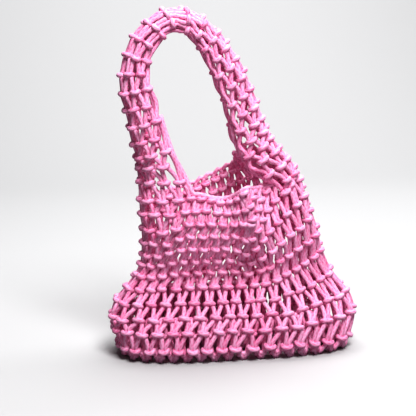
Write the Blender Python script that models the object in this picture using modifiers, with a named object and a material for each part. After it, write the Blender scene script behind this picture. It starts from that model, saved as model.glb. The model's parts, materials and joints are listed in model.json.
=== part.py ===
"""Hand-knotted macrame tote bag: a slumped net body, a flat base net, a curled handle band and two lip cords.

Metres, +Z up, the front of the bag faces -Y and its width runs along X. The tables are in millimetres.
"""
import math

import bmesh
import bpy
import numpy as np
from mathutils import Vector

MM = 0.001
CENTRE_X = 3.72
CENTRE_Y = -0.33

# Net
FINE_COLUMNS = 36
NET_COLUMNS = 24
NET_ROWS = 7
LAST_ROW = 11.0
STRAND = 6.2
BASE_STRAND_WIDTH = 8.0
BASE_STRAND_THICKNESS = 5.6
BASE_ROWS = 1
SEAM_SHORTER = 0.24

# Ridged knots, fused on the front wall
KNOT_LENGTH = 19.0
KNOT_HEIGHT = 8.0
KNOT_DEPTH = 9.0
KNOT_OUT = 1.4
KNOT_ROWS = (1, 2, 3, 5)
KNOT_SIDES = 8
KNOT_RINGS = 4

# Handle band
BAND_HALF_COLUMNS = 3.0
BAND_CELLS = 3
BAND_STEPS = 16
BAND_LENGTH_ROWS = 32.0
BAND_BLEND_ROWS = 5.0
BAND_GAP = 7.4
RIM_ROW_HEIGHT = 15.0

# Lip cords
LIP_RADIUS = 3.0
LIP_LIFT = 6.9
LIP_POINTS = 30
SCALLOPS = 9
SCALLOP_HEIGHT = 3.0

# The wall of the bag, a row per knotted row:
# row, height at the front, back, left and right, reach to the left, right, front and back, squareness
WALL = (
    (0.0, 203, 210, 200, 212, -118, 88, -40, 38, 2.3),
    (2.0, 173, 182, 172, 180, -116, 98, -48, 42, 2.4),
    (4.0, 141, 150, 140, 148, -115, 110, -41, 44, 2.4),
    (6.0, 108, 116, 106, 112, -120, 120, -26, 46, 2.5),
    (7.0, 88, 96, 86, 92, -134, 132, -27, 50, 2.6),
    (8.0, 70, 78, 68, 74, -148, 146, -38, 54, 2.7),
    (9.0, 53, 60, 50, 55, -154, 158, -51, 58, 3.0),
    (10.0, 34, 40, 32, 36, -153, 162, -60, 60, 3.2),
    (11.0, 9.4, 9.4, 9.4, 9.4, -145, 156, -60, 56, 3.2),
)

# Folds of the wall: column, spread in columns, row, spread in rows, push outwards, lift
FOLDS = (
    (10.4, 1.0, 0.0, 4.5, 14, 9),
    (7.5, 2.4, 0.0, 1.5, 0, -4),
    (13.4, 1.7, 0.8, 2.4, -16, 0),
    (17.4, 1.3, 8.8, 1.3, 6, 0),
    (0.6, 1.6, 8.6, 1.2, 5, 0),
)

# The handle band: place along it, centre across and up, half width, half depth, wrap in degrees
BAND = (
    (0.00, -94, 216, 27, 33, 100),
    (0.10, -99, 253, 26, 29, 112),
    (0.19, -108, 281, 22, 25, 125),
    (0.27, -115, 312, 19, 21, 138),
    (0.34, -118, 338, 18, 18, 145),
    (0.41, -117, 364, 15, 16, 150),
    (0.47, -106, 390, 14, 15, 152),
    (0.53, -82, 411, 13, 14, 152),
    (0.59, -56, 409, 13, 14, 152),
    (0.66, -31, 390, 14, 15, 150),
    (0.74, -7, 357, 15, 17, 145),
    (0.82, 11, 316, 16, 20, 138),
    (0.90, 28, 272, 19, 24, 125),
    (0.95, 42, 243, 22, 28, 112),
    (1.00, 58, 216, 26, 32, 100),
)


def read_table(table, place):
    """Smooth curve through the rows of a table, read at a place in its first column."""
    keys = np.array([row[0] for row in table], float)
    values = np.array([row[1:] for row in table], float)
    slopes = np.gradient(values, keys, axis=0)
    place = min(max(place, keys[0]), keys[-1])
    i = min(max(int(np.searchsorted(keys, place)) - 1, 0), len(keys) - 2)
    step = keys[i + 1] - keys[i]
    t = (place - keys[i]) / step
    return (
        (2 * t**3 - 3 * t**2 + 1) * values[i]
        + (t**3 - 2 * t**2 + t) * step * slopes[i]
        + (3 * t**2 - 2 * t**3) * values[i + 1]
        + (t**3 - t**2) * step * slopes[i + 1]
    )


def ease(x):
    """Smooth step from 0 to 1."""
    x = min(max(x, 0.0), 1.0)
    return x * x * (3 - 2 * x)


def outline_point(left, right, depth, squareness, share):
    """Place on half an outline, at a share of the way from its left end to its right end."""
    turn = np.linspace(0, math.pi, 121)
    x = (left + right) / 2 - (right - left) / 2 * np.sign(np.cos(turn)) * np.abs(np.cos(turn)) ** (2 / squareness)
    y = depth * np.abs(np.sin(turn)) ** (2 / squareness)
    run = np.concatenate([[0], np.cumsum(np.hypot(np.diff(x), np.diff(y)))])
    return np.interp(share * run[-1], run, x), np.interp(share * run[-1], run, y)


def plain_wall(column, row):
    """Place on the wall before its folds; columns run from the left end over the front to the back."""
    front_z, back_z, left_z, right_z, left, right, front, back, squareness = read_table(WALL, row)
    column = column % FINE_COLUMNS
    turn = 2 * math.pi * column / FINE_COLUMNS
    z = (
        front_z * max(math.sin(turn), 0) ** 2
        + back_z * max(-math.sin(turn), 0) ** 2
        + left_z * max(math.cos(turn), 0) ** 2
        + right_z * max(-math.cos(turn), 0) ** 2
    )
    half = FINE_COLUMNS / 2
    if column <= half:
        x, y = outline_point(left, right, front, squareness, column / half)
    else:
        x, y = outline_point(left, right, back, squareness, (FINE_COLUMNS - column) / half)
    return np.array([x - CENTRE_X, y - CENTRE_Y, z])


def outward(column, row):
    """Level direction that points out of the wall."""
    along = plain_wall(column + 0.1, row) - plain_wall(column - 0.1, row)
    out = np.array([along[1], -along[0], 0.0])
    return out / np.linalg.norm(out)


def wall_point(column, row):
    """Place on the folded wall, in millimetres."""
    point = plain_wall(column, row)
    out = outward(column, row)
    for fold_column, columns, fold_row, rows, push, lift in FOLDS:
        away = (column - fold_column + FINE_COLUMNS / 2) % FINE_COLUMNS - FINE_COLUMNS / 2
        strength = math.exp(-((away / columns) ** 2) - ((row - fold_row) / rows) ** 2)
        point = point + out * push * strength
        point[2] += lift * strength
    return point


def above_rim(column, height):
    """Place a height above the rim of the bag."""
    lean = wall_point(column, 0.0) - wall_point(column, 1.0)
    return wall_point(column, 0.0) + lean / np.linalg.norm(lean) * height


def band_section(place, across):
    """Place on the curled handle band; across runs from -1 at its front edge to 1 at its back edge."""
    x, z, half_width, half_depth, wrap = read_table(BAND, place)
    ahead = read_table(BAND, min(place + 0.02, 1))[:2]
    behind = read_table(BAND, max(place - 0.02, 0))[:2]
    run = (ahead - behind) / np.linalg.norm(ahead - behind)
    angle = math.radians(wrap) * across
    out = half_width * math.cos(angle)
    across_y = half_depth * math.sin(angle)
    return np.array([x - run[1] * out - CENTRE_X, across_y - CENTRE_Y, z + run[0] * out])


def band_point(row, across):
    """Place on the handle band, row by row from the left rim to the right rim."""
    point = band_section(row / BAND_LENGTH_ROWS, across)
    left_side = row < BAND_LENGTH_ROWS / 2
    from_rim = row if left_side else BAND_LENGTH_ROWS - row
    column = -across * BAND_HALF_COLUMNS if left_side else FINE_COLUMNS / 2 + across * BAND_HALF_COLUMNS
    start = above_rim(column, BAND_GAP + from_rim * RIM_ROW_HEIGHT)
    share = ease(from_rim / BAND_BLEND_ROWS)
    return start * (1 - share) + point * share


def material(name, colour, roughness):
    """Principled material of one sub-part."""
    made = bpy.data.materials.new(name)
    made.use_nodes = True
    shader = made.node_tree.nodes["Principled BSDF"]
    shader.inputs["Base Color"].default_value = (*colour, 1.0)
    shader.inputs["Roughness"].default_value = roughness
    return made


def collection(name):
    """New collection in the scene."""
    made = bpy.data.collections.new(name)
    bpy.context.scene.collection.children.link(made)
    return made


def add_object(name, data, group, finish=None):
    """Object of its own in a collection."""
    made = bpy.data.objects.new(name, data)
    group.objects.link(made)
    if finish is not None:
        data.materials.append(finish)
    return made


def add_guide(name, data, group):
    """Working shape that is joined to a sub-part and isn't shown."""
    made = add_object(name, data, group)
    made.hide_render = True
    made.display_type = "WIRE"
    return made


def lattice_mesh(name, place, rows, cells, closed, folded=False):
    """Diamonds of a net as faces; place(row, column) gives millimetres, odd rows stand half a cell over.

    A closed net runs round, and a folded one has its last row closed flat, front half onto back half.
    """
    bm = bmesh.new()
    nodes = {}
    halves = 2 * cells

    def node(row, half):
        if closed:
            half = half % halves
        if folded and row == rows:
            half = min(half, halves - half)
        if (row, half) not in nodes:
            nodes[row, half] = bm.verts.new(Vector(place(row, half / 2)) * MM)
        return nodes[row, half]

    for row in range(rows + 1):
        for half in range((row + 1) % 2, halves + (0 if closed else 1), 2):
            corners = [(row - 1, half), (row, half - 1), (row + 1, half), (row, half + 1)]
            kept = [
                node(*corner)
                for corner in corners
                if 0 <= corner[0] <= rows and (closed or 0 <= corner[1] <= halves)
            ]
            kept = list(dict.fromkeys(kept))
            if len(kept) > 2:
                bm.faces.new(kept)
    bmesh.ops.recalc_face_normals(bm, faces=bm.faces)
    mesh = bpy.data.meshes.new(name)
    bm.to_mesh(mesh)
    bm.free()
    return mesh


def shade_smooth(mesh):
    """Smooth shading on every face."""
    for polygon in mesh.polygons:
        polygon.use_smooth = True


def net_place(row, column):
    """Node of the body net."""
    return wall_point(column * FINE_COLUMNS / NET_COLUMNS, row * LAST_ROW / NET_ROWS)


def band_place(row, column):
    """Node of the handle band."""
    return band_point(row * BAND_LENGTH_ROWS / BAND_STEPS, 2 * column / BAND_CELLS - 1)


def base_place(row, column):
    """Node of the flat base net, from its outline in to the seam along the middle."""
    x, y, _ = plain_wall(column * FINE_COLUMNS / NET_COLUMNS, LAST_ROW)
    inward = row / BASE_ROWS
    return np.array([x * (1 - SEAM_SHORTER * inward), y * (1 - inward), BASE_STRAND_THICKNESS / 2])


def knot_frame(column, row):
    """Middle of a knot and its directions along the bar, out of the wall and up, in millimetres."""
    along = Vector(wall_point(column + 0.2, row) - wall_point(column - 0.2, row)).normalized()
    down = Vector(wall_point(column, row + 0.2) - wall_point(column, row - 0.2))
    out = along.cross(-down).normalized()
    return Vector(wall_point(column, row)) + out * KNOT_OUT, along, out, out.cross(along)


def ridged_knots(name, group):
    """Rounded bars that lie across the strands of the front wall, one on each knot of the chosen rows."""
    bm = bmesh.new()
    half = NET_COLUMNS // 2
    for row in KNOT_ROWS:
        start = 0.5 * (row % 2)
        for i in range(1, half):
            if i + start < half:
                column = (i + start) * FINE_COLUMNS / NET_COLUMNS
                middle, along, out, up = knot_frame(column, row * LAST_ROW / NET_ROWS)
                ball = bmesh.ops.create_uvsphere(
                    bm, u_segments=KNOT_SIDES, v_segments=KNOT_RINGS, radius=0.5
                )
                for vert in ball["verts"]:
                    x, y, z = vert.co
                    bent = along * z * KNOT_LENGTH + out * x * KNOT_DEPTH + up * y * KNOT_HEIGHT
                    vert.co = (middle + bent) * MM
    bmesh.ops.recalc_face_normals(bm, faces=bm.faces)
    mesh = bpy.data.meshes.new(name)
    bm.to_mesh(mesh)
    bm.free()
    return add_guide(name, mesh, group)


def build_body(group, guides, finish):
    """Body net: strands of the wall's lattice, with ridged knots joined on."""
    mesh = lattice_mesh("body_net", net_place, NET_ROWS, NET_COLUMNS, closed=True)
    shade_smooth(mesh)
    body = add_object("body_net", mesh, group, finish)
    wire = body.modifiers.new("strands", "WIREFRAME")
    wire.thickness = STRAND * MM
    wire.use_boundary = True
    knots = ridged_knots("body_knots", guides)
    join = body.modifiers.new("knots", "BOOLEAN")
    join.operation = "UNION"
    join.solver = "EXACT"
    join.object = knots


def build_base(group, finish):
    """Base net: flat strands that rest level on the ground."""
    mesh = lattice_mesh("base_net", base_place, BASE_ROWS, NET_COLUMNS, closed=True, folded=True)
    bm = bmesh.new()
    bm.from_mesh(mesh)
    gaps = bm.faces[:]
    bmesh.ops.inset_individual(bm, faces=gaps, thickness=BASE_STRAND_WIDTH / 2 * MM, use_even_offset=True)
    bmesh.ops.delete(bm, geom=gaps, context="FACES")
    bm.to_mesh(mesh)
    bm.free()
    base = add_object("base_net", mesh, group, finish)
    thick = base.modifiers.new("thickness", "SOLIDIFY")
    thick.thickness = BASE_STRAND_THICKNESS * MM
    thick.offset = 0.0


def build_band(group, finish):
    """Handle band: a net as wide as six knots, curled into a tube towards its top."""
    mesh = lattice_mesh("handle_band", band_place, BAND_STEPS, BAND_CELLS, closed=False)
    shade_smooth(mesh)
    band = add_object("handle_band", mesh, group, finish)
    wire = band.modifiers.new("strands", "WIREFRAME")
    wire.thickness = STRAND * MM
    wire.use_boundary = True


def build_lip(name, first_column, last_column, scallop, group, finish):
    """Lip cord that lies along the rim between the two ends of the handle band."""
    curve = bpy.data.curves.new(name, "CURVE")
    curve.dimensions = "3D"
    curve.bevel_depth = LIP_RADIUS * MM
    curve.bevel_resolution = 2
    curve.use_fill_caps = True
    line = curve.splines.new("POLY")
    line.points.add(LIP_POINTS)
    for i, point in enumerate(line.points):
        share = i / LIP_POINTS
        rise = scallop * abs(math.sin(math.pi * SCALLOPS * share))
        place = above_rim(first_column + (last_column - first_column) * share, LIP_LIFT + rise)
        point.co = (*(place * MM), 1.0)
    add_object(name, curve, group, finish)


def main():
    """Builds the bag in its own collection."""
    for old in list(bpy.data.objects):
        bpy.data.objects.remove(old, do_unlink=True)
    parts = collection("macrame_tote_bag")
    guides = collection("joined_shapes")
    net = material("pink cotton net", (0.83, 0.17, 0.42), 0.8)
    band = material("pink cotton band", (0.83, 0.17, 0.42), 0.8)
    base = material("pink cotton base", (0.8, 0.16, 0.4), 0.8)
    front = material("pink cotton front cord", (0.86, 0.2, 0.46), 0.75)
    back = material("pink cotton back cord", (0.86, 0.2, 0.46), 0.75)
    build_body(parts, guides, net)
    build_base(parts, base)
    build_band(parts, band)
    build_lip("front_lip_cord", 3.7, 14.3, 0.0, parts, front)
    build_lip("back_lip_cord", 21.7, 32.3, SCALLOP_HEIGHT, parts, back)


main()
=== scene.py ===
"""Looks of the knotted macrame tote bag: the cords and knots of its net, its cotton, the camera and light."""
import json
import logging
import math
import random
from collections.abc import Callable
from dataclasses import dataclass, field
from enum import Enum

import bmesh
import bpy
import numpy as np
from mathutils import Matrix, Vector

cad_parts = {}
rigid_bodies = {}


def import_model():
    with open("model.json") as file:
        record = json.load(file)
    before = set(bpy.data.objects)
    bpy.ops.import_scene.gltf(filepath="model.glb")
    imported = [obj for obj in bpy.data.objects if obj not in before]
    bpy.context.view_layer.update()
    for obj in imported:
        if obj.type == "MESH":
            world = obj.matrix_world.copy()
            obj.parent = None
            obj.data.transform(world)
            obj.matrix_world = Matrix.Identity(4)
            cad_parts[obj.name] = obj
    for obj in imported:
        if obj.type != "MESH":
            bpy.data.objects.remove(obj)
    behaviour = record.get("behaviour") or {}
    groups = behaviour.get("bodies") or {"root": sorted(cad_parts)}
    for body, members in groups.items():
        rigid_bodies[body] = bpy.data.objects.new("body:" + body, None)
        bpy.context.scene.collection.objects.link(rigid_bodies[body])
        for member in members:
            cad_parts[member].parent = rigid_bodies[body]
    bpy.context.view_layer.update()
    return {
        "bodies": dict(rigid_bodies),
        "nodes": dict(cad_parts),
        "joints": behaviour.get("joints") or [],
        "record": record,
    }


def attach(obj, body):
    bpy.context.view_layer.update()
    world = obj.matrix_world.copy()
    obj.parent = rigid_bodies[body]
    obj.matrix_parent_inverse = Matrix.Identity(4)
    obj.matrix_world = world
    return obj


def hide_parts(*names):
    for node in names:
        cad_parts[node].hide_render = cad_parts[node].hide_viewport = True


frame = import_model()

LOG = logging.getLogger("macrame_tote_bag")
MM = 0.001
ROOT = "root"


@dataclass(frozen=True)
class Table:
    """Smooth curve through named rows, read at a place in the first column."""

    rows: tuple[tuple[float, ...], ...]

    def read(self, place: float) -> np.ndarray:
        """Value of every column at a place.

        Args:
            place: where to read, in the first column's units.

        Returns:
            The other columns' values there.
        """
        keys = np.array([row[0] for row in self.rows], float)
        values = np.array([row[1:] for row in self.rows], float)
        slopes = np.gradient(values, keys, axis=0)
        place = min(max(place, keys[0]), keys[-1])
        i = min(max(int(np.searchsorted(keys, place)) - 1, 0), len(keys) - 2)
        step = keys[i + 1] - keys[i]
        t = (place - keys[i]) / step
        return (
            (2 * t**3 - 3 * t**2 + 1) * values[i]
            + (t**3 - 2 * t**2 + t) * step * slopes[i]
            + (3 * t**2 - 2 * t**3) * values[i + 1]
            + (t**3 - t**2) * step * slopes[i + 1]
        )


@dataclass(frozen=True)
class Fold:
    """Local push of the wall, in columns, rows and millimetres."""

    column: float
    columns: float
    row: float
    rows: float
    push: float
    lift: float


@dataclass(frozen=True)
class KnotFrame:
    """Place of a knot, in metres, its directions along the bar, up and out, and the room beside it."""

    centre: Vector
    along: Vector
    up: Vector
    out: Vector
    pitch: float


def ease(x: float) -> float:
    """Smooth step from 0 to 1 at a place, which is clamped to 0 to 1."""
    x = min(max(x, 0.0), 1.0)
    return x * x * (3 - 2 * x)


@dataclass
class BagForm:
    """Slumped surface that the net follows: its wall, its slack base and its handle band.

    Columns run once round the bag from its left end over the front. Rows run down from the rim.
    """

    columns: int = 36
    centre_x: float = 3.72
    centre_y: float = -0.33
    band_half: float = 3.0
    band_rows: float = 32.0
    band_pull: float = 5.0
    left_blend: float = 3.4
    right_blend: float = 3.2
    flap_blend: float = 1.4
    rim_row_height: float = 15.0
    floor_row: float = 11.0
    seam_row: float = 15.0
    seam_shorter: float = 0.24
    floor_height: float = 6.4
    front_tuck: float = 44.0
    back_tuck: float = 66.0
    tuck_start: float = 0.1
    tuck_share: float = 0.55
    tuck_inward: float = 0.12
    foot_turn: float = 8.0
    left_foot: tuple[float, float, float] = (1.45, -3.8, 0.35)
    right_foot_curl: float = 0.4
    outline_cuts: int = 121
    nearby: float = 0.1
    nearby_on_band: float = 0.02

    # row, height at the front, back, left and right, reach to the left, right, front and back, squareness
    wall: Table = Table(
        (
            (0.0, 203, 210, 200, 212, -114, 88, -40, 38, 2.3),
            (2.0, 173, 182, 172, 180, -112, 98, -48, 42, 2.4),
            (4.0, 141, 150, 140, 148, -111, 110, -41, 44, 2.4),
            (6.0, 108, 116, 106, 112, -117, 120, -26, 46, 2.5),
            (7.0, 88, 96, 86, 92, -130, 131, -27, 50, 2.6),
            (8.0, 70, 78, 68, 74, -142, 143, -38, 57, 2.7),
            (9.0, 53, 60, 50, 55, -147, 151, -51, 62, 3.0),
            (10.0, 34, 40, 32, 36, -146, 153, -60, 62, 3.2),
            (11.0, 9.4, 9.4, 9.4, 9.4, -141, 149, -60, 60, 3.2),
        )
    )
    folds: tuple[Fold, ...] = (
        Fold(10.4, 1.0, 0.0, 4.5, 14, 5),
        Fold(10.5, 0.7, 0.0, 1.2, 6, 6),
        Fold(8.8, 1.6, 0.0, 1.5, 0, -7),
        Fold(13.2, 1.7, 0.8, 2.2, -19, 0),
        Fold(17.4, 1.3, 8.8, 1.3, 6, 0),
        Fold(0.6, 1.6, 8.6, 1.2, 5, 0),
    )
    # place along the band, centre across and up, half width, half depth, wrap in degrees
    band: Table = Table(
        (
            (0.00, -85, 216, 36, 36, 126),
            (0.10, -91, 253, 27, 32, 120),
            (0.19, -101, 281, 23, 28, 130),
            (0.27, -110, 312, 20, 24, 140),
            (0.34, -117, 338, 19, 20, 145),
            (0.41, -117, 364, 15, 16, 150),
            (0.47, -106, 391, 14, 15, 152),
            (0.53, -82, 413, 13, 14, 150),
            (0.59, -56, 412, 13, 14, 150),
            (0.66, -32, 391, 15, 15, 150),
            (0.74, -10, 355, 19, 18, 146),
            (0.82, 7, 314, 20, 22, 139),
            (0.90, 20, 268, 25, 27, 133),
            (0.95, 33, 239, 28, 31, 126),
            (1.00, 50, 212, 30, 33, 118),
        )
    )

    def outline(
        self, left: float, right: float, depth: float, square: float, share: float
    ) -> tuple[float, float]:
        """Place on half an outline, at a share of the way from its left end to its right end.

        Args:
            left: reach of the outline to the left, in millimetres.
            right: reach to the right.
            depth: reach to the front or back.
            square: squareness of the corners.
            share: 0 at the left end, 1 at the right end.

        Returns:
            The place across and back, in millimetres.
        """
        turn = np.linspace(0, math.pi, self.outline_cuts)
        cosine = np.cos(turn)
        x = (left + right) / 2 - (right - left) / 2 * np.sign(cosine) * np.abs(cosine) ** (2 / square)
        y = depth * np.abs(np.sin(turn)) ** (2 / square)
        run = np.concatenate([[0], np.cumsum(np.hypot(np.diff(x), np.diff(y)))])
        return float(np.interp(share * run[-1], run, x)), float(np.interp(share * run[-1], run, y))

    def plain_wall(self, column: float, row: float) -> np.ndarray:
        """Place on the wall before its folds.

        Args:
            column: column round the bag.
            row: row down from the rim.

        Returns:
            The place, in millimetres.
        """
        front_z, back_z, left_z, right_z, left, right, front, back, square = self.wall.read(row)
        column = column % self.columns
        turn = 2 * math.pi * column / self.columns
        z = (
            front_z * max(math.sin(turn), 0) ** 2
            + back_z * max(-math.sin(turn), 0) ** 2
            + left_z * max(math.cos(turn), 0) ** 2
            + right_z * max(-math.cos(turn), 0) ** 2
        )
        half = self.columns / 2
        if column <= half:
            x, y = self.outline(left, right, front, square, column / half)
        else:
            x, y = self.outline(left, right, back, square, (self.columns - column) / half)
        return np.array([x - self.centre_x, y - self.centre_y, z])

    def outward(self, column: float, row: float) -> np.ndarray:
        """Level direction out of the wall.

        Args:
            column: column round the bag.
            row: row down from the rim.

        Returns:
            A unit direction.
        """
        along = self.plain_wall(column + self.nearby, row) - self.plain_wall(column - self.nearby, row)
        out = np.array([along[1], -along[0], 0.0])
        return out / np.linalg.norm(out)

    def wall_point(self, column: float, row: float) -> np.ndarray:
        """Place on the folded wall.

        Args:
            column: column round the bag.
            row: row down from the rim.

        Returns:
            The place, in millimetres.
        """
        point = self.plain_wall(column, row)
        out = self.outward(column, row)
        half = self.columns / 2
        for fold in self.folds:
            away = (column - fold.column + half) % self.columns - half
            strength = math.exp(-((away / fold.columns) ** 2) - ((row - fold.row) / fold.rows) ** 2)
            point = point + out * fold.push * strength
            point[2] += fold.lift * strength
        return point

    def above_rim(self, column: float, height: float) -> np.ndarray:
        """Place at a height along the cloth above the rim, all in millimetres."""
        lean = self.wall_point(column, 0.0) - self.wall_point(column, 1.0)
        return self.wall_point(column, 0.0) + lean / np.linalg.norm(lean) * height

    def even_place(self, share: float) -> float:
        """Place on the band's table at a share of its length.

        Args:
            share: share of the length of the band's middle line.

        Returns:
            The place.
        """
        rows = np.array(self.band.rows)
        run = np.concatenate([[0], np.cumsum(np.hypot(np.diff(rows[:, 1]), np.diff(rows[:, 2])))])
        return float(np.interp(share * run[-1], run, rows[:, 0]))

    def band_section(self, place: float, across: float) -> np.ndarray:
        """Place on the curled band away from its ends.

        Args:
            place: 0 at the left rim, 1 at the right rim.
            across: -1 at the front edge, 1 at the back edge.

        Returns:
            The place, in millimetres.
        """
        x, z, half_width, half_depth, wrap = self.band.read(place)
        ahead = self.band.read(min(place + self.nearby_on_band, 1.0))[:2]
        behind = self.band.read(max(place - self.nearby_on_band, 0.0))[:2]
        run = (ahead - behind) / np.linalg.norm(ahead - behind)
        angle = math.radians(wrap) * across
        out = half_width * math.cos(angle)
        y = half_depth * math.sin(angle)
        return np.array([x - run[1] * out - self.centre_x, y - self.centre_y, z + run[0] * out])

    def band_point(self, row: float, across: float) -> np.ndarray:
        """Place on the handle band.

        Args:
            row: rows along it from the left rim.
            across: -1 at its front edge, 1 at its back edge.

        Returns:
            The place, in millimetres.
        """
        point = self.band_section(row / self.band_rows, across)
        if row < self.band_rows / 2:
            from_rim, blend = row, self.left_blend
            middle, turn, curl = self.left_foot
            column = middle + turn * across + curl * across**2
        else:
            from_rim, blend = self.band_rows - row, self.right_blend - self.flap_blend * max(-across, 0.0)
            curl = self.right_foot_curl * max(-across, 0.0) ** 2
            column = self.columns / 2 + across * self.band_half - curl
        start = self.above_rim(column, from_rim * self.rim_row_height)
        share = ease(from_rim / blend)
        return start * (1 - share) + point * share

    def base_point(self, column: float, row: float) -> np.ndarray:
        """Place on the slack base, which folds up inside both walls on its way in to the seam.

        Args:
            column: column round the bag.
            row: row below the floor row.

        Returns:
            The place, in millimetres.
        """
        foot = self.wall_point(column, self.floor_row)
        inward = min((row - self.floor_row) / (self.seam_row - self.floor_row), 1.0)
        facing = math.sin(2 * math.pi * column / self.columns)
        tuck = math.sin(math.pi * min(max(inward - self.tuck_start, 0.0) / self.tuck_share, 1.0)) ** 2
        tuck *= ease(2.0 * abs(facing))
        rise = tuck * (self.front_tuck if facing > 0 else self.back_tuck)
        height = foot[2] + (self.floor_height - foot[2]) * ease(inward * self.foot_turn) + rise
        x = (foot[0] + self.centre_x) * (1 - self.seam_shorter * inward) - self.centre_x
        y = (foot[1] + self.centre_y) * (1 - inward + self.tuck_inward * tuck) - self.centre_y
        return np.array([x, y, height])

    def cloth_point(self, column: float, row: float) -> np.ndarray:
        """Place on the body, its base or the stubs of the band above the rim.

        Args:
            column: column round the bag.
            row: row down from the rim, negative above it.

        Returns:
            The place, in millimetres.
        """
        if row > self.floor_row:
            return self.base_point(column, row)
        if row >= 0:
            return self.wall_point(column, row)
        height = -row * self.rim_row_height
        half = self.columns / 2
        edge = half + math.copysign(self.band_half, column - half)
        drawn = self.band_point(self.band_rows + row, math.copysign(1.0, column - half))
        near = 1 - ease(abs(column - edge) / self.band_pull)
        return self.above_rim(column, height) + (drawn - self.above_rim(edge, height)) * near


@dataclass
class NetPlan:
    """Where each knot of the net lies: its rows, its columns and how the slump draws them askew."""

    form: BagForm
    rows: int = 11
    base_rows: int = 7
    low_rows_closer: float = 0.3
    shear_start: float = 10.2
    shear_start_per_row: float = 0.25
    shear_end: float = 18.5
    shear_slope: float = 0.58
    shear_full_row: float = 3.5
    ridge_dip: float = 0.6
    ridge_column: float = 10.0
    ridge_row: float = 4.0
    ridge_rows: float = 2.0
    end_drop: float = 0.75
    end_columns: float = 2.0
    band_rows: int = 28
    band_shift: int = 24
    band_slope: float = 0.2
    band_foot_slope: float = 0.58
    band_foot: float = 24.0
    left_column: int = 1
    body_skew: float = 0.2
    band_skew: float = 0.6
    band_edge_turn: float = 0.5
    band_edge_fall: float = 0.88
    stray: float = 1.0
    stray_out: float = 0.4
    row_reach: float = 0.6
    back_edge: float = 1.4
    # row of the band's net, then the share of the band's length where it lies
    band_pace: Table = Table(
        ((0, 0.0), (3, 0.092), (7, 0.258), (18, 0.692), (21, 0.812), (24, 0.906), (28, 1.0)),
    )
    # column behind the right end, then the share of the full shift that the back's knots are drawn up by
    back_rise: Table = Table(
        (
            (18.5, 1.0),
            (21, 0.52),
            (24, 0.27),
            (26, 0.13),
            (27.5, 0.02),
            (29, -0.09),
            (32, -0.18),
            (34, -0.12),
            (36, 0.0),
        )
    )
    # row of the back wall, then the row of the cloth where it lies, since the slack back sags into itself
    back_sag: Table = Table(
        ((0, 0.0), (3, 3.2), (5, 5.6), (6, 6.5), (7, 7.2), (8, 7.8), (9, 8.5), (10, 9.4), (11, 11.0)),
    )
    drift_columns: tuple[float, ...] = (0.0, 3.5, 8.0, 9.5, 11.0, 12.5, 15.0, 18.0, 20.0)
    # row, then how many columns the knots lie to the right of an even net at each drift column
    drift: Table = Table(
        (
            (0, 0.0, 1.6, 1.3, 0.6, -0.4, -0.6, -0.4, 0.0, 0.0),
            (2, 0.0, 1.2, 1.0, 0.6, -0.5, -0.8, -0.5, 0.0, 0.0),
            (4, 0.0, 0.1, 0.0, -0.1, -0.6, -0.9, -0.6, 0.0, 0.0),
            (6, 0.0, -0.6, -0.3, 0.0, 0.1, 0.0, -0.4, -0.3, 0.0),
            (8, 0.0, -0.1, 0.0, -0.1, -0.3, -0.2, 0.1, 0.0, 0.0),
            (11, 0.0, -0.3, -0.8, -1.0, -0.8, -0.8, -1.0, -0.6, 0.0),
        )
    )

    def drifted(self, column: float, row: float) -> float:
        """Surface column of a net column.

        Args:
            column: the net's column.
            row: the row.

        Returns:
            Where it lies round the bag.
        """
        column = column % self.form.columns
        if column > self.drift_columns[-1]:
            return column
        return column + float(np.interp(column, self.drift_columns, self.drift.read(min(row, self.rows))))

    def shear(self, column: float, row: float) -> float:
        """How many rows a knot is drawn up the cloth at the right end.

        Args:
            column: column round the bag.
            row: the knot's own row.

        Returns:
            The shift, in rows.
        """
        column = column % self.form.columns
        start = self.shear_start + self.shear_start_per_row * row
        if column < self.shear_end:
            shift = max(self.shear_slope * (column - start), 0.0)
        else:
            rise = float(self.back_rise.read(column)[0])
            shift = self.shear_slope * (self.shear_end - start) * rise
        fade = (self.rows - row) / (self.rows - self.shear_full_row)
        return shift * min(max(fade, 0.0), 1.0)

    def dip(self, column: float, row: float) -> float:
        """How many rows a knot hangs low, at the ridge in the front wall and near the left end.

        Args:
            column: column round the bag.
            row: the knot's own row.

        Returns:
            The shift, in rows.
        """
        half = self.form.columns / 2
        from_end = abs((column + half) % self.form.columns - half)
        lower = ((row - self.ridge_row) / self.ridge_rows) ** 2
        ridge = self.ridge_dip * math.exp(-((column - self.ridge_column) ** 2) - lower)
        falling = 0.2 + 0.8 * ease(row / 2.5)
        level = 1 - ease((row - 3.0) / 5.0)
        near = 1 - ease((from_end - self.end_columns) / self.end_columns)
        return ridge + self.end_drop * falling * level * near

    def body_place(self, column: float, row: float) -> tuple[float, float]:
        """Surface column and row of a body knot.

        Args:
            column: the knot's column.
            row: the knot's own row.

        Returns:
            Its column and its row on the cloth.
        """
        form = self.form
        across = self.drifted(column, row)
        if row > self.rows:
            below = (row - self.rows) / (self.base_rows + 1)
            return across, form.floor_row + (form.seam_row - form.floor_row) * below
        behind = ease(-self.back_edge * math.sin(2 * math.pi * column / form.columns))
        down = row + (float(self.back_sag.read(row)[0]) - row) * behind
        down -= self.low_rows_closer * ease((row - 8.0) / 3.0)
        return across, down - self.shear(column, row) + self.dip(column, row)

    def band_place(self, across: float, row: float) -> tuple[float, float]:
        """Place along the band and share across it of a band knot.

        Args:
            across: columns from the band's middle, negative at its front edge.
            row: the knot's row, counted from the left rim.

        Returns:
            The place along the band in the form's rows, and the share across it.
        """
        slope = self.band_slope * ease((row - 9.0) / 5.0)
        slope += (self.band_foot_slope - self.band_slope) * ease((row - self.band_foot) / 4.0)
        edge = self.band_edge_turn
        drawn = min(across, edge) - self.band_edge_fall * max(across - edge, 0.0)
        share = float(self.band_pace.read(row - slope * drawn)[0])
        return self.form.band_rows * self.form.even_place(share), across / self.form.band_half

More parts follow.
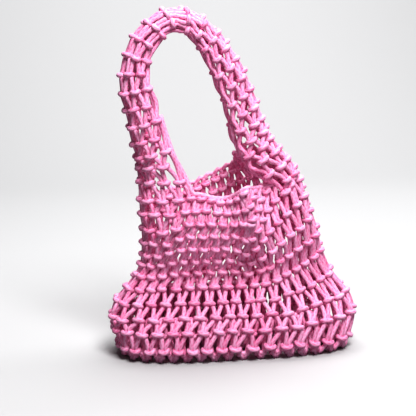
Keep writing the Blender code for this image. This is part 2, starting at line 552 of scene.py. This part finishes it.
    def body_frame(self, column: float, row: float, loose: float = 1.0) -> KnotFrame:
        """Frame of a body knot.

        Args:
            column: the knot's column.
            row: the knot's own row.
            loose: how far the knot strays from its even place, 0 to 1.

        Returns:
            Its frame.
        """

        def point(across: float, down: float) -> Vector:
            """Place of a column and row of the body, in millimetres."""
            return Vector(self.form.cloth_point(*self.body_place(across, down)))

        chance = random.Random(round(2 * column) * 100 + row)
        return self.frame_at(point, column, row, 1.0, self.body_skew, chance, loose)

    def band_frame(self, across: float, row: float, loose: float = 1.0) -> KnotFrame:
        """Frame of a band knot.

        Args:
            across: columns from the band's middle.
            row: the knot's row from the left rim.
            loose: how far the knot strays from its even place, 0 to 1.

        Returns:
            Its frame.
        """

        def point(beside: float, along: float) -> Vector:
            """Place of a column and row of the band, in millimetres."""
            return Vector(self.form.band_point(*self.band_place(beside, along)))

        facing = -1.0 if row < self.band_rows / 2 else 1.0
        chance = random.Random(round(2 * across) * 100 + row + 7)
        return self.frame_at(point, across, row, facing, self.band_skew, chance, loose)

    def frame_at(
        self,
        point: Callable[[float, float], Vector],
        column: float,
        row: float,
        facing: float,
        skew: float,
        chance: random.Random,
        loose: float,
    ) -> KnotFrame:
        """Frame from the places of a knot's neighbours, as seen from outside.

        Args:
            point: function of the net's column and row that gives a place in millimetres.
            column: the knot's column.
            row: the knot's row.
            facing: 1 where columns run to the right and rows run down, -1 where both run the other way.
            skew: how far the bar turns with its row, 0 for square to its cords, 1 for along the row.
            chance: source of the knot's own small shift.
            loose: share of that shift.

        Returns:
            The frame there.
        """
        beside = (point(column + 0.5, row) - point(column - 0.5, row)) * facing
        above, below = point(column, row - self.row_reach), point(column, row + self.row_reach)
        up = ((above - below) * facing).normalized()
        out = beside.cross(up).normalized()
        level = up.cross(out)
        along = (beside.normalized() * skew + level * (1 - skew)).normalized()
        up = out.cross(along)
        shift = along * chance.uniform(-self.stray, self.stray)
        shift += up * chance.uniform(-self.stray, self.stray)
        shift += out * chance.uniform(-self.stray_out, self.stray_out)
        centre = (point(column, row) + shift * loose) * MM
        return KnotFrame(centre, along, up, out, abs(beside.dot(along)) * MM)


class Region(Enum):
    """Which piece of the bag a stretch of cord belongs to."""

    BODY = "body"
    BASE = "base"
    BAND = "band"
    BACK_LIP = "back_lip"


@dataclass(frozen=True)
class Station:
    """One stop of a cord: a knot that it runs through, or a free place on its way."""

    frame: KnotFrame
    side: float
    region: Region
    knotted: bool = True


@dataclass
class CordPaths:
    """Cords of the net, each a list of stations from its first end to its last."""

    plan: NetPlan
    edge_across: float = 2.86
    lip_height: float = 6.0
    edge_room: float = 0.3
    rim_room: float = 0.3
    band_end_room: float = 0.2
    # share of the way from one rim knot to the next, then the arch's height there in millimetres
    arch: tuple[tuple[float, float], ...] = ((0.12, 8.2), (0.5, 10.6), (0.88, 8.2))
    stations: list[list[Station]] = field(default_factory=list)
    knots: dict[tuple[Region, int, int], KnotFrame] = field(default_factory=dict)

    def knot_column(self, place: float, row: int) -> tuple[float, float]:
        """Column of the knot that a cord runs through in a row, and -1 or 1 for the side that it takes."""
        column = float(round(place)) if row % 2 == 0 else math.floor(place) + 0.5
        return column, 1.0 if place > column else -1.0

    def body_station(self, place: float, row: int) -> Station:
        """Stop of a cord in the body or base.

        Args:
            place: the cord's place round the bag.
            row: the row.

        Returns:
            The stop.
        """
        plan = self.plan
        column, side = self.knot_column(place, row)
        column = column % plan.form.columns
        region = Region.BASE if row > plan.rows else Region.BODY
        frame = plan.body_frame(column, row, 0.0 if region is Region.BASE else 1.0)
        on_back_of_seam = row > plan.rows + plan.base_rows and column > plan.form.columns / 2
        if not on_back_of_seam:
            self.knots[region, round(2 * column), row] = frame
        return Station(frame, side, region)

    def band_station(self, across: float, row: int) -> Station:
        """Stop of a cord in the band.

        Args:
            across: the cord's place across the band.
            row: the row, counted from the left rim.

        Returns:
            The stop, which is a free one at the band's edges.
        """
        plan = self.plan
        column, side = self.knot_column(across, row)
        if abs(column) > plan.form.band_half - self.edge_room:
            free = plan.band_frame(math.copysign(self.edge_across, column), row)
            return Station(free, 0.0, Region.BAND, knotted=False)
        frame = plan.band_frame(column, row)
        self.knots[Region.BAND, round(2 * column), row] = frame
        facing = -1.0 if row < plan.band_rows / 2 else 1.0
        return Station(frame, side * facing, Region.BAND)

    def foot_run(self, place: float) -> list[Station]:
        """Stops of a cord from the seam of the base out to the wall's foot.

        Args:
            place: the cord's place round the bag.

        Returns:
            The stops.
        """
        plan = self.plan
        last = plan.rows + plan.base_rows + 1
        return [self.body_station(place, row) for row in range(last, plan.rows, -1)]

    def first_row(self, place: float) -> int:
        """Highest body row that a cord has a knot in, below the lip.

        Args:
            place: the cord's place round the bag.

        Returns:
            The row.
        """
        for row in range(self.plan.rows):
            column, _ = self.knot_column(place, row)
            if self.plan.body_place(column, row)[1] > -self.rim_room:
                return row
        return self.plan.rows

    def wall_run(self, place: float) -> list[Station]:
        """Stops of a cord from the seam up to its highest knot below the lip.

        Args:
            place: the cord's place round the bag.

        Returns:
            The stops.
        """
        behind = place > self.plan.form.columns / 2
        rows = range(self.plan.rows, -1 if behind else self.first_row(place) - 1, -1)
        return self.foot_run(place) + [self.body_station(place, row) for row in rows]

    def free_frame(self, column: float, height: float) -> KnotFrame:
        """Frame of a free place above the rim.

        Args:
            column: surface column.
            height: height above the rim, in millimetres.

        Returns:
            The frame.
        """
        form = self.plan.form
        centre = Vector(form.above_rim(column, height)) * MM
        beside = form.above_rim(column + form.nearby, height) - form.above_rim(column - form.nearby, height)
        along = Vector(beside).normalized()
        out = Vector(form.outward(column, 0.0))
        return KnotFrame(centre, along, out.cross(along) * -1, out, 0.0)

    def front_cord(self, place: float) -> list[Station]:
        """Stops of a cord that hangs from the front lip.

        Args:
            place: the cord's place round the bag.

        Returns:
            The stops, from the seam up.
        """
        column = self.plan.drifted(place, 0.0)
        lip = Station(self.free_frame(column, self.lip_height - 1.0), 0.0, Region.BODY, knotted=False)
        return self.wall_run(place) + [lip]

    def back_cord(self, column: float) -> list[Station]:
        """Stops of the cord that arches from one knot of the back rim to the next.

        Args:
            column: whole column to the left of the arch.

        Returns:
            The stops, from the seam up, over the arch and down again.
        """
        rising, falling = self.wall_run(column + 0.25), self.wall_run(column + 0.75)
        start, end = rising[-1].frame, falling[-1].frame
        up = (start.up + end.up).normalized()
        arch = []
        for share, rise in self.arch:
            centre = start.centre.lerp(end.centre, share) + up * rise * MM
            frame = KnotFrame(centre, start.along, up, start.out, start.pitch)
            arch.append(Station(frame, 0.0, Region.BACK_LIP, knotted=False))
        return rising + arch + falling[::-1]

    def band_cord(self, across: float) -> list[Station]:
        """Whole run of a cord that crosses the band, from the seam on the left to the seam on the right.

        Args:
            across: the cord's place across the band.

        Returns:
            The stops.
        """
        form, plan = self.plan.form, self.plan
        left = (plan.left_column - across) % form.columns
        run = self.foot_run(left)
        run += [self.body_station(left, row) for row in range(plan.rows, -1, -1)]
        right = form.columns / 2 + across
        for row in range(1, plan.band_shift + plan.rows + 1):
            column, _ = self.knot_column(across, row)
            place, _ = plan.band_place(column, row)
            if place < form.band_rows - self.band_end_room:
                run.append(self.band_station(across, row))
            else:
                run.append(self.body_station(right, row - plan.band_shift))
        return run + self.foot_run(right)[::-1]

    def make(self) -> None:
        """Lays out every cord."""
        form = self.plan.form
        half = form.columns / 2
        for i in range(int(4 * form.band_half)):
            self.stations.append(self.band_cord(0.25 + 0.5 * i - form.band_half))
        front_from = self.plan.left_column + form.band_half
        back_from = half + form.band_half
        for i in range(int(2 * (half - form.band_half - front_from))):
            self.stations.append(self.front_cord(front_from + 0.25 + 0.5 * i))
        for i in range(int(half - 2 * form.band_half + self.plan.left_column)):
            self.stations.append(self.back_cord(back_from + i))


@dataclass
class CordShaper:
    """Turns station lists into smooth lines, and knots into wrapped bars."""

    radius: float = 2.9 * MM
    bar_radius: float = 3.05 * MM
    step: float = 4.0 * MM
    inlet: float = 2.1 * MM
    core: float = 2.4 * MM
    outlet_left: float = 2.9 * MM
    outlet_past_bar: float = 0.3 * MM
    mouth_height: float = 4.8 * MM
    bar_share: float = 0.9
    bar_least: float = 13.4 * MM
    bar_most: float = 17.4 * MM
    bar_depth: float = 4.4 * MM
    bar_points: int = 12
    bar_square: float = 0.75
    bar_tilt: float = 7.0
    bar_spread: tuple[float, float] = (0.94, 1.08)
    smile_spread: tuple[float, float] = (0.2, 1.5)

    def bar_half(self, frame: KnotFrame) -> float:
        """Half length of a knot's bar, in metres, between the middles of its two ends."""
        whole = min(max(self.bar_share * frame.pitch, self.bar_least), self.bar_most)
        return whole / 2 - self.bar_radius

    def guides(self, run: list[Station]) -> tuple[list[Vector], list[Region]]:
        """Places that a cord passes, three at each knot, and the piece each belongs to.

        Args:
            run: the cord's stations.

        Returns:
            The places and their regions.
        """
        points, regions = [], []
        for i, stop in enumerate(run):
            frame = stop.frame
            if not stop.knotted:
                points.append(frame.centre)
                regions.append(stop.region)
                continue
            last = i + 1 == len(run)
            before, after = (run[i - 1], stop) if last else (stop, run[i + 1])
            way = after.frame.centre - before.frame.centre
            outlet = self.bar_half(frame) + self.outlet_past_bar if stop.side > 0 else -self.outlet_left
            above = frame.centre + frame.along * stop.side * self.inlet + frame.up * self.mouth_height
            below = frame.centre + frame.along * outlet - frame.up * self.mouth_height
            inside = frame.centre + frame.along * stop.side * self.core
            rising = way.dot(frame.up) > 0
            points += [below, inside, above] if rising else [above, inside, below]
            regions += [stop.region] * 3
        return points, regions

    def smooth(self, points: list[Vector]) -> tuple[list[Vector], list[int]]:
        """Even points on a smooth curve through given ones.

        Args:
            points: places that the curve passes.

        Returns:
            The points of the curve and the guide that each follows.
        """
        line, follows = [], []
        for i in range(len(points) - 1):
            start, end = points[i], points[i + 1]
            before, after = points[max(i - 1, 0)], points[min(i + 2, len(points) - 1)]
            chord = (end - start).length
            lead = (end - before) * (chord / max((end - before).length, 1e-6))
            trail = (after - start) * (chord / max((after - start).length, 1e-6))
            cuts = max(1, round(chord / self.step))
            for k in range(cuts):
                t = k / cuts
                line.append(
                    start * (2 * t**3 - 3 * t**2 + 1)
                    + lead * (t**3 - 2 * t**2 + t)
                    + end * (3 * t**2 - 2 * t**3)
                    + trail * (t**3 - t**2)
                )
                follows.append(i)
        line.append(points[-1].copy())
        follows.append(len(points) - 1)
        return line, follows

    def bar(self, frame: KnotFrame, chance: random.Random, flat: float, slope: float) -> list[Vector]:
        """Loop of a knot's bar round its two cords.

        Args:
            frame: the knot's frame.
            chance: source of the small differences between knots.
            flat: share of the full depth, less on the base.
            slope: how far the bar falls to the right, in degrees.

        Returns:
            The loop's points.
        """
        tilt = math.tan(math.radians(chance.uniform(-self.bar_tilt, self.bar_tilt) - slope))
        half = self.bar_half(frame) * chance.uniform(*self.bar_spread)
        smile = chance.uniform(*self.smile_spread) * MM
        points = []
        for k in range(self.bar_points):
            turn = 2 * math.pi * (k + 0.5) / self.bar_points
            across, back = math.cos(turn), math.sin(turn)
            wide = half * math.copysign(abs(across) ** self.bar_square, across)
            deep = self.bar_depth * flat * math.copysign(abs(back) ** self.bar_square, back)
            lift = wide * tilt + smile * (across**2 - 0.5)
            points.append(frame.centre + frame.along * wide + frame.out * deep + frame.up * lift)
        return points


@dataclass
class Piece:
    """One joined piece of cords, made of tubes."""

    name: str
    radius: float
    sides: int = 8
    lines: list[tuple[list[Vector], bool, float]] = field(default_factory=list)

    def add(self, points: list[Vector], closed: bool, tone: float) -> None:
        """Adds a tube by its line, whether that is a loop, and its own shade from 0 to 1."""
        self.lines.append((points, closed, tone))

    def build(self) -> bpy.types.Object:
        """Makes the piece as a mesh with its cord coordinates.

        Returns:
            The object.
        """
        curve = bpy.data.curves.new(self.name, "CURVE")
        curve.dimensions = "3D"
        curve.bevel_depth = self.radius
        curve.bevel_resolution = (self.sides - 4) // 2
        for points, closed, _ in self.lines:
            line = curve.splines.new("POLY")
            line.points.add(len(points) - 1)
            line.points.foreach_set("co", [value for point in points for value in (*point, 1.0)])
            line.use_cyclic_u = closed
        rough = bpy.data.objects.new(self.name + "_line", curve)
        bpy.context.scene.collection.objects.link(rough)
        graph = bpy.context.evaluated_depsgraph_get()
        mesh = bpy.data.meshes.new_from_object(rough.evaluated_get(graph))
        bpy.data.objects.remove(rough, do_unlink=True)
        bpy.data.curves.remove(curve)
        mesh.name = self.name
        self.close_ends(mesh)
        self.write_coordinates(mesh)
        piece = bpy.data.objects.new(self.name, mesh)
        bpy.context.scene.collection.objects.link(piece)
        return piece

    def close_ends(self, mesh: bpy.types.Mesh) -> None:
        """Closes the open ends of the tubes, each with one flat face on the points it has.

        Args:
            mesh: the tubes.
        """
        tubes = bmesh.new()
        tubes.from_mesh(mesh)
        ends = [edge for edge in tubes.edges if edge.is_boundary]
        bmesh.ops.holes_fill(tubes, edges=ends, sides=self.sides)
        tubes.to_mesh(mesh)
        tubes.free()

    def write_coordinates(self, mesh: bpy.types.Mesh) -> None:
        """Writes each point's place round and along its cord, and its cord's tone.

        Args:
            mesh: the tubes, ring after ring.
        """
        turn = 2 * math.pi * np.arange(self.sides) / self.sides
        rows, tones = [], []
        for points, _, tone in self.lines:
            run = 0.0
            for i, point in enumerate(points):
                if i:
                    run += (point - points[i - 1]).length
                ring = np.stack([np.cos(turn), np.sin(turn), np.full(self.sides, run)], axis=1)
                rows.append(ring)
                tones.append(np.full(self.sides, tone))
        values = np.concatenate(rows).astype(np.float32)
        if len(values) != len(mesh.vertices):
            raise ValueError(f"{self.name} has {len(mesh.vertices)} points and {len(values)} coordinates")
        cord = mesh.attributes.new("cord", "FLOAT_VECTOR", "POINT")
        cord.data.foreach_set("vector", values.ravel())
        shade = mesh.attributes.new("tone", "FLOAT", "POINT")
        shade.data.foreach_set("value", np.concatenate(tones).astype(np.float32))
        for polygon in mesh.polygons:
            polygon.use_smooth = len(polygon.vertices) < self.sides


@dataclass(frozen=True)
class Cotton:
    """Smooth braided cotton cord, dyed pink, its colour painted darker in the grooves of its plait as painted
    shade.
    """

    name: str = "pink_cotton"
    light: tuple[float, float, float] = (0.93, 0.46, 0.69)
    deep: tuple[float, float, float] = (0.76, 0.11, 0.31)
    roughness: float = 0.55
    sheen: float = 0.05
    sheen_roughness: float = 0.4
    sheen_tint: tuple[float, float, float] = (1.0, 0.7, 0.88)
    braid_turns: float = 4.0
    braid_pitch: float = 9.0 * MM
    fuzz_scale: float = 900.0
    patch_scale: float = 60.0
    bump_strength: float = 0.22
    bump_depth: float = 0.3 * MM
    # shares of the braid's painted shade in its grooves, the fuzz, the patches and the cord's own tone in its
    # shade
    braid_share: float = 0.18
    fuzz_share: float = 0.28
    patch_share: float = 0.3
    tone_share: float = 0.25
    # shades at which the cord is wholly deep and wholly light
    deep_shade: float = 0.06
    light_shade: float = 0.66

    def braid_group(self) -> bpy.types.ShaderNodeTree:
        """Node group for the plait of a cord, whose height both bumps the cord and paints shade into its
        grooves.

        Returns:
            The group, which gives the plait's height.
        """
        group = bpy.data.node_groups.new("braid", "ShaderNodeTree")
        group.interface.new_socket("Cord", in_out="INPUT", socket_type="NodeSocketVector")
        group.interface.new_socket("Height", in_out="OUTPUT", socket_type="NodeSocketFloat")
        nodes, links = group.nodes, group.links
        source = nodes.new("NodeGroupInput")
        parts = nodes.new("ShaderNodeSeparateXYZ")
        links.new(source.outputs["Cord"], parts.inputs["Vector"])
        angle = self.maths(group, "ARCTAN2", parts.outputs["Y"], parts.outputs["X"])
        turned = self.maths(group, "MULTIPLY", angle, self.braid_turns)
        run = self.maths(group, "MULTIPLY", parts.outputs["Z"], 2 * math.pi / self.braid_pitch)
        one = self.maths(group, "SINE", self.maths(group, "ADD", turned, run))
        other = self.maths(group, "SINE", self.maths(group, "SUBTRACT", turned, run))
        height = self.maths(group, "MAXIMUM", one, other)
        sink = nodes.new("NodeGroupOutput")
        links.new(height, sink.inputs["Height"])
        return group

    def maths(
        self,
        tree: bpy.types.NodeTree,
        operation: str,
        first: bpy.types.NodeSocket,
        second: bpy.types.NodeSocket | float | None = None,
    ) -> bpy.types.NodeSocket:
        """Maths node.

        Args:
            tree: tree to add to.
            operation: what it works out.
            first: socket of the first value.
            second: socket or number of the second value, where it takes two.

        Returns:
            The result's socket.
        """
        node = tree.nodes.new("ShaderNodeMath")
        node.operation = operation
        tree.links.new(first, node.inputs[0])
        if isinstance(second, float):
            node.inputs[1].default_value = second
        elif second is not None:
            tree.links.new(second, node.inputs[1])
        return node.outputs[0]

    def build(self) -> bpy.types.Material:
        """Makes the cotton's material.

        Returns:
            The material.
        """
        made = bpy.data.materials.new(self.name)
        made.use_nodes = True
        tree = made.node_tree
        nodes, links = tree.nodes, tree.links
        shader = nodes["Principled BSDF"]
        cord = nodes.new("ShaderNodeAttribute")
        cord.attribute_name = "cord"
        tone = nodes.new("ShaderNodeAttribute")
        tone.attribute_name = "tone"
        place = nodes.new("ShaderNodeTexCoord")
        braid = nodes.new("ShaderNodeGroup")
        braid.node_tree = self.braid_group()
        links.new(cord.outputs["Vector"], braid.inputs["Cord"])
        fuzz = nodes.new("ShaderNodeTexNoise")
        fuzz.inputs["Scale"].default_value = self.fuzz_scale
        fuzz.inputs["Detail"].default_value = 4.0
        links.new(place.outputs["Object"], fuzz.inputs["Vector"])
        patches = nodes.new("ShaderNodeTexNoise")
        patches.inputs["Scale"].default_value = self.patch_scale
        links.new(place.outputs["Object"], patches.inputs["Vector"])
        # painted shade: the plait's height makes the colour darker in its grooves and lighter on its strands;
        # the fuzz, patches and tone add random tone
        shade = self.maths(tree, "MULTIPLY", braid.outputs["Height"], self.braid_share)
        parts = (
            (fuzz.outputs["Fac"], self.fuzz_share),
            (patches.outputs["Fac"], self.patch_share),
            (tone.outputs["Fac"], self.tone_share),
        )
        for part, share in parts:
            shade = self.maths(tree, "ADD", shade, self.maths(tree, "MULTIPLY", part, share))
        colour = nodes.new("ShaderNodeValToRGB")
        colour.color_ramp.elements[0].position = self.deep_shade
        colour.color_ramp.elements[0].color = (*self.deep, 1.0)
        colour.color_ramp.elements[1].position = self.light_shade
        colour.color_ramp.elements[1].color = (*self.light, 1.0)
        links.new(shade, colour.inputs["Fac"])
        links.new(colour.outputs["Color"], shader.inputs["Base Color"])
        shader.inputs["Roughness"].default_value = self.roughness
        shader.inputs["Sheen Weight"].default_value = self.sheen
        shader.inputs["Sheen Roughness"].default_value = self.sheen_roughness
        shader.inputs["Sheen Tint"].default_value = (*self.sheen_tint, 1.0)
        height = self.maths(tree, "ADD", braid.outputs["Height"], fuzz.outputs["Fac"])
        bump = nodes.new("ShaderNodeBump")
        bump.inputs["Strength"].default_value = self.bump_strength
        bump.inputs["Distance"].default_value = self.bump_depth
        links.new(height, bump.inputs["Height"])
        links.new(bump.outputs["Normal"], shader.inputs["Normal"])
        return made


@dataclass
class NetMaker:
    """Makes the bag's pieces from its cords and dresses them."""

    form: BagForm
    paths: CordPaths
    shaper: CordShaper
    cotton: bpy.types.Material
    cord_seed: int = 3
    knot_seed: int = 5
    base_bar_flat: float = 0.5
    fall: float = 20.0
    fall_place: tuple[float, float] = (7.5, 4.5)
    fall_reach: tuple[float, float] = (2.6, 2.4)
    lip_radius_share: float = 1.05
    lip_tone: float = 0.8
    lip_wave: float = 0.7
    lip_wave_turn: float = 2.3
    lip_cuts: int = 40
    lip_columns: tuple[float, float] = (5.9, 14.4)
    # rows of the band's front edge that the lip cord passes on the left leg, and on the right leg
    lip_left_rows: tuple[float, ...] = (7.6, 6, 4.4, 3, 1.8)
    lip_right_rows: tuple[float, ...] = (0.8, 1.6, 2.5, 3.5, 4.6)
    # share by which it lies behind the right leg's front edge, for each row and at most
    lip_tuck_per_row: float = 0.1
    lip_tuck_most: float = 0.22

    def dress(self, piece: bpy.types.Object, slot: str, *nodes: str) -> None:
        """Gives a piece its material and its place in the frame.

        Args:
            piece: the piece.
            slot: the record's material slot; not used.
            nodes: CAD nodes that it stands for.
        """
        piece.data.materials.append(self.cotton)
        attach(piece, ROOT)
        if nodes:
            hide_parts(*nodes)
        LOG.info("piece %s: %d faces", piece.name, len(piece.data.polygons))

    def cords(self) -> None:
        """Builds the cords of the body, the base, the band and the back lip."""
        chance = random.Random(self.cord_seed)
        pieces = {region: Piece(f"{region.value}_cords", self.shaper.radius) for region in Region}
        for run in self.paths.stations:
            tone = chance.random()
            guides, regions = self.shaper.guides(run)
            line, follows = self.shaper.smooth(guides)
            start = 0
            for i in range(1, len(line)):
                here = regions[follows[i - 1]]
                if i == len(line) - 1 or regions[follows[i]] is not here:
                    pieces[here].add(line[start : i + 1], False, tone)
                    start = i
        stands_for = {
            Region.BODY: "body_net",
            Region.BASE: "base_net",
            Region.BAND: "handle_band",
            Region.BACK_LIP: "back_lip_cord",
        }
        for region, piece in pieces.items():
            slot = "pink_cotton_cord" if region is Region.BACK_LIP else "pink_cotton_net"
            self.dress(piece.build(), slot, stands_for[region])

    def slope(self, column: float, row: int) -> float:
        """How far the bars of the front wall's middle fall to the right.

        Args:
            column: the knot's column.
            row: the knot's row.

        Returns:
            The slope, in degrees.
        """
        across = (column - self.fall_place[0]) / self.fall_reach[0]
        down = (row - self.fall_place[1]) / self.fall_reach[1]
        return self.fall * math.exp(-(across**2) - down**2)

    def knots(self) -> None:
        """Builds the bar of every knot."""
        chance = random.Random(self.knot_seed)
        regions = (Region.BODY, Region.BASE, Region.BAND)
        pieces = {region: Piece(f"{region.value}_knots", self.shaper.bar_radius) for region in regions}
        for (region, double, row), frame in sorted(self.paths.knots.items(), key=lambda item: str(item[0])):
            flat = self.base_bar_flat if region is Region.BASE else 1.0
            slope = self.slope(double / 2, row) if region is Region.BODY else 0.0
            pieces[region].add(self.shaper.bar(frame, chance, flat, slope), True, chance.random())
        for piece in pieces.values():
            self.dress(piece.build(), "pink_cotton_net")

    def front_lip(self) -> None:
        """Builds the smooth cord that runs down the left leg, along the front lip and up the right leg."""
        form = self.form
        line = [Vector(form.band_point(row, -1.0)) * MM for row in self.lip_left_rows]
        first, last = self.lip_columns
        for i in range(self.lip_cuts + 1):
            column = first + (last - first) * i / self.lip_cuts
            wave = self.lip_wave * math.sin(self.lip_wave_turn * column)
            line.append(Vector(form.above_rim(column, self.paths.lip_height + wave)) * MM)
        for row in self.lip_right_rows:
            front, back = (Vector(form.band_point(form.band_rows - row, across)) for across in (-1.0, 1.0))
            line.append(front.lerp(back, min(self.lip_tuck_per_row * row, self.lip_tuck_most)) * MM)
        lip = Piece("front_lip", self.shaper.radius * self.lip_radius_share)
        points, _ = self.shaper.smooth(line)
        lip.add(points, False, self.lip_tone)
        self.dress(lip.build(), "pink_cotton_cord", "front_lip_cord")


@dataclass(frozen=True)
class Lamp:
    """Soft square light: its name, its place and width in metres, its power in watts and what it faces."""

    name: str
    place: tuple[float, float, float]
    size: float
    power: float
    target: tuple[float, float, float] = (0.0, 0.0, 0.15)


@dataclass
class Studio:
    """Pale floor and wall, soft light and the camera of the photograph."""

    azimuth: float = -10.0
    elevation: float = 11.2
    distance: float = 1.4
    lens: float = 96.66
    aim: tuple[float, float, float] = (-0.0339, 0.0, 0.1835)
    sensor: float = 36.0
    surround: float = 0.04
    surround_shown: tuple[float, float, float] = (0.82, 0.83, 0.85)
    lamps: tuple[Lamp, ...] = (
        Lamp("key", (0.1, -0.88, 1.45), 0.6, 24.0),
        Lamp("fill", (-0.3, -1.6, 0.5), 0.7, 1.5),
        Lamp("wall", (0.4, 0.8, 1.9), 2.0, 52.0, (0.3, 2.0, 0.0)),
    )
    floor_half: float = 1.5
    floor_front: float = -1.2
    floor_back: float = 1.2
    bend_radius: float = 1.2
    bend_cuts: int = 16
    wall_height: float = 3.0
    paper_roughness: float = 0.9
    # the paper's shade in the light that it throws back, and as the camera sees it
    paper_thrown: tuple[float, float, float] = (0.2, 0.2, 0.205)
    paper_shown: tuple[float, float, float] = (0.49, 0.49, 0.495)

    def floor(self) -> None:
        """Makes the floor, which bends up into the wall behind."""
        sheet = bmesh.new()
        ends = (-self.floor_half, self.floor_half)
        sheet.edges.new([sheet.verts.new((end, self.floor_front, 0)) for end in ends])
        made = bmesh.ops.extrude_edge_only(sheet, edges=sheet.edges[:])
        far = [item for item in made["geom"] if isinstance(item, bmesh.types.BMVert)]
        bmesh.ops.translate(sheet, verts=far, vec=(0, self.floor_back - self.floor_front, 0))
        edge = [item for item in made["geom"] if isinstance(item, bmesh.types.BMEdge)]
        bend = bmesh.ops.spin(
            sheet,
            geom=edge,
            cent=(0, self.floor_back, self.bend_radius),
            axis=(1, 0, 0),
            angle=math.pi / 2,
            steps=self.bend_cuts,
            use_merge=False,
        )
        edge = [item for item in bend["geom_last"] if isinstance(item, bmesh.types.BMEdge)]
        made = bmesh.ops.extrude_edge_only(sheet, edges=edge)
        far = [item for item in made["geom"] if isinstance(item, bmesh.types.BMVert)]
        bmesh.ops.translate(sheet, verts=far, vec=(0, 0, self.wall_height))
        mesh = bpy.data.meshes.new("floor")
        sheet.to_mesh(mesh)
        sheet.free()
        for polygon in mesh.polygons:
            polygon.use_smooth = True
        made = bpy.data.objects.new("floor", mesh)
        bpy.context.scene.collection.objects.link(made)
        mesh.materials.append(self.paper())

    def paper(self) -> bpy.types.Material:
        """Makes the matt pale paper, which throws back less light than the camera sees on it.

        Returns:
            The material.
        """
        paper = bpy.data.materials.new("paper")
        paper.use_nodes = True
        tree = paper.node_tree
        shader = tree.nodes["Principled BSDF"]
        shader.inputs["Roughness"].default_value = self.paper_roughness
        path = tree.nodes.new("ShaderNodeLightPath")
        tone = tree.nodes.new("ShaderNodeMix")
        tone.data_type = "RGBA"
        tone.inputs["A"].default_value = (*self.paper_thrown, 1.0)
        tone.inputs["B"].default_value = (*self.paper_shown, 1.0)
        tree.links.new(path.outputs["Is Camera Ray"], tone.inputs["Factor"])
        tree.links.new(tone.outputs["Result"], shader.inputs["Base Color"])
        return paper

    def light(self, lamp: Lamp) -> None:
        """Makes a soft area light.

        Args:
            lamp: its sizes.
        """
        data = bpy.data.lights.new(lamp.name, "AREA")
        data.size = lamp.size
        data.energy = lamp.power
        made = bpy.data.objects.new(lamp.name, data)
        made.location = lamp.place
        made.rotation_euler = (Vector(lamp.target) - Vector(lamp.place)).to_track_quat("-Z", "Y").to_euler()
        bpy.context.scene.collection.objects.link(made)

    def lights(self) -> None:
        """Soft key light from above and the front, a weak fill, a light on the wall and a dim surround."""
        for lamp in self.lamps:
            self.light(lamp)
        world = bpy.data.worlds.new("surround")
        world.use_nodes = True
        tree = world.node_tree
        dim = tree.nodes["Background"]
        dim.inputs["Color"].default_value = (1.0, 1.0, 1.0, 1.0)
        dim.inputs["Strength"].default_value = self.surround
        pale = tree.nodes.new("ShaderNodeBackground")
        pale.inputs["Color"].default_value = (*self.surround_shown, 1.0)
        path = tree.nodes.new("ShaderNodeLightPath")
        mix = tree.nodes.new("ShaderNodeMixShader")
        tree.links.new(path.outputs["Is Camera Ray"], mix.inputs["Fac"])
        tree.links.new(dim.outputs["Background"], mix.inputs[1])
        tree.links.new(pale.outputs["Background"], mix.inputs[2])
        tree.links.new(mix.outputs["Shader"], tree.nodes["World Output"].inputs["Surface"])
        bpy.context.scene.world = world
        bpy.context.scene.view_settings.view_transform = "Standard"
        bpy.context.scene.view_settings.look = "High Contrast"

    def camera(self) -> None:
        """Camera at the photograph's angle."""
        turn, lift = math.radians(self.azimuth), math.radians(self.elevation)
        back = Vector((math.sin(turn) * math.cos(lift), -math.cos(turn) * math.cos(lift), math.sin(lift)))
        data = bpy.data.cameras.new("camera")
        data.lens = self.lens
        data.sensor_width = self.sensor
        made = bpy.data.objects.new("camera", data)
        made.location = Vector(self.aim) + back * self.distance
        made.rotation_euler = back.to_track_quat("Z", "Y").to_euler()
        bpy.context.scene.collection.objects.link(made)
        bpy.context.scene.camera = made


def main() -> None:
    """Builds the bag, its cotton and the studio."""
    logging.basicConfig(level=logging.INFO)
    form = BagForm()
    paths = CordPaths(NetPlan(form))
    paths.make()
    LOG.info("%d cords, %d knots", len(paths.stations), len(paths.knots))
    maker = NetMaker(form, paths, CordShaper(), Cotton().build())
    maker.cords()
    maker.knots()
    maker.front_lip()
    studio = Studio()
    studio.floor()
    studio.lights()
    studio.camera()


if __name__ == "__main__":
    main()
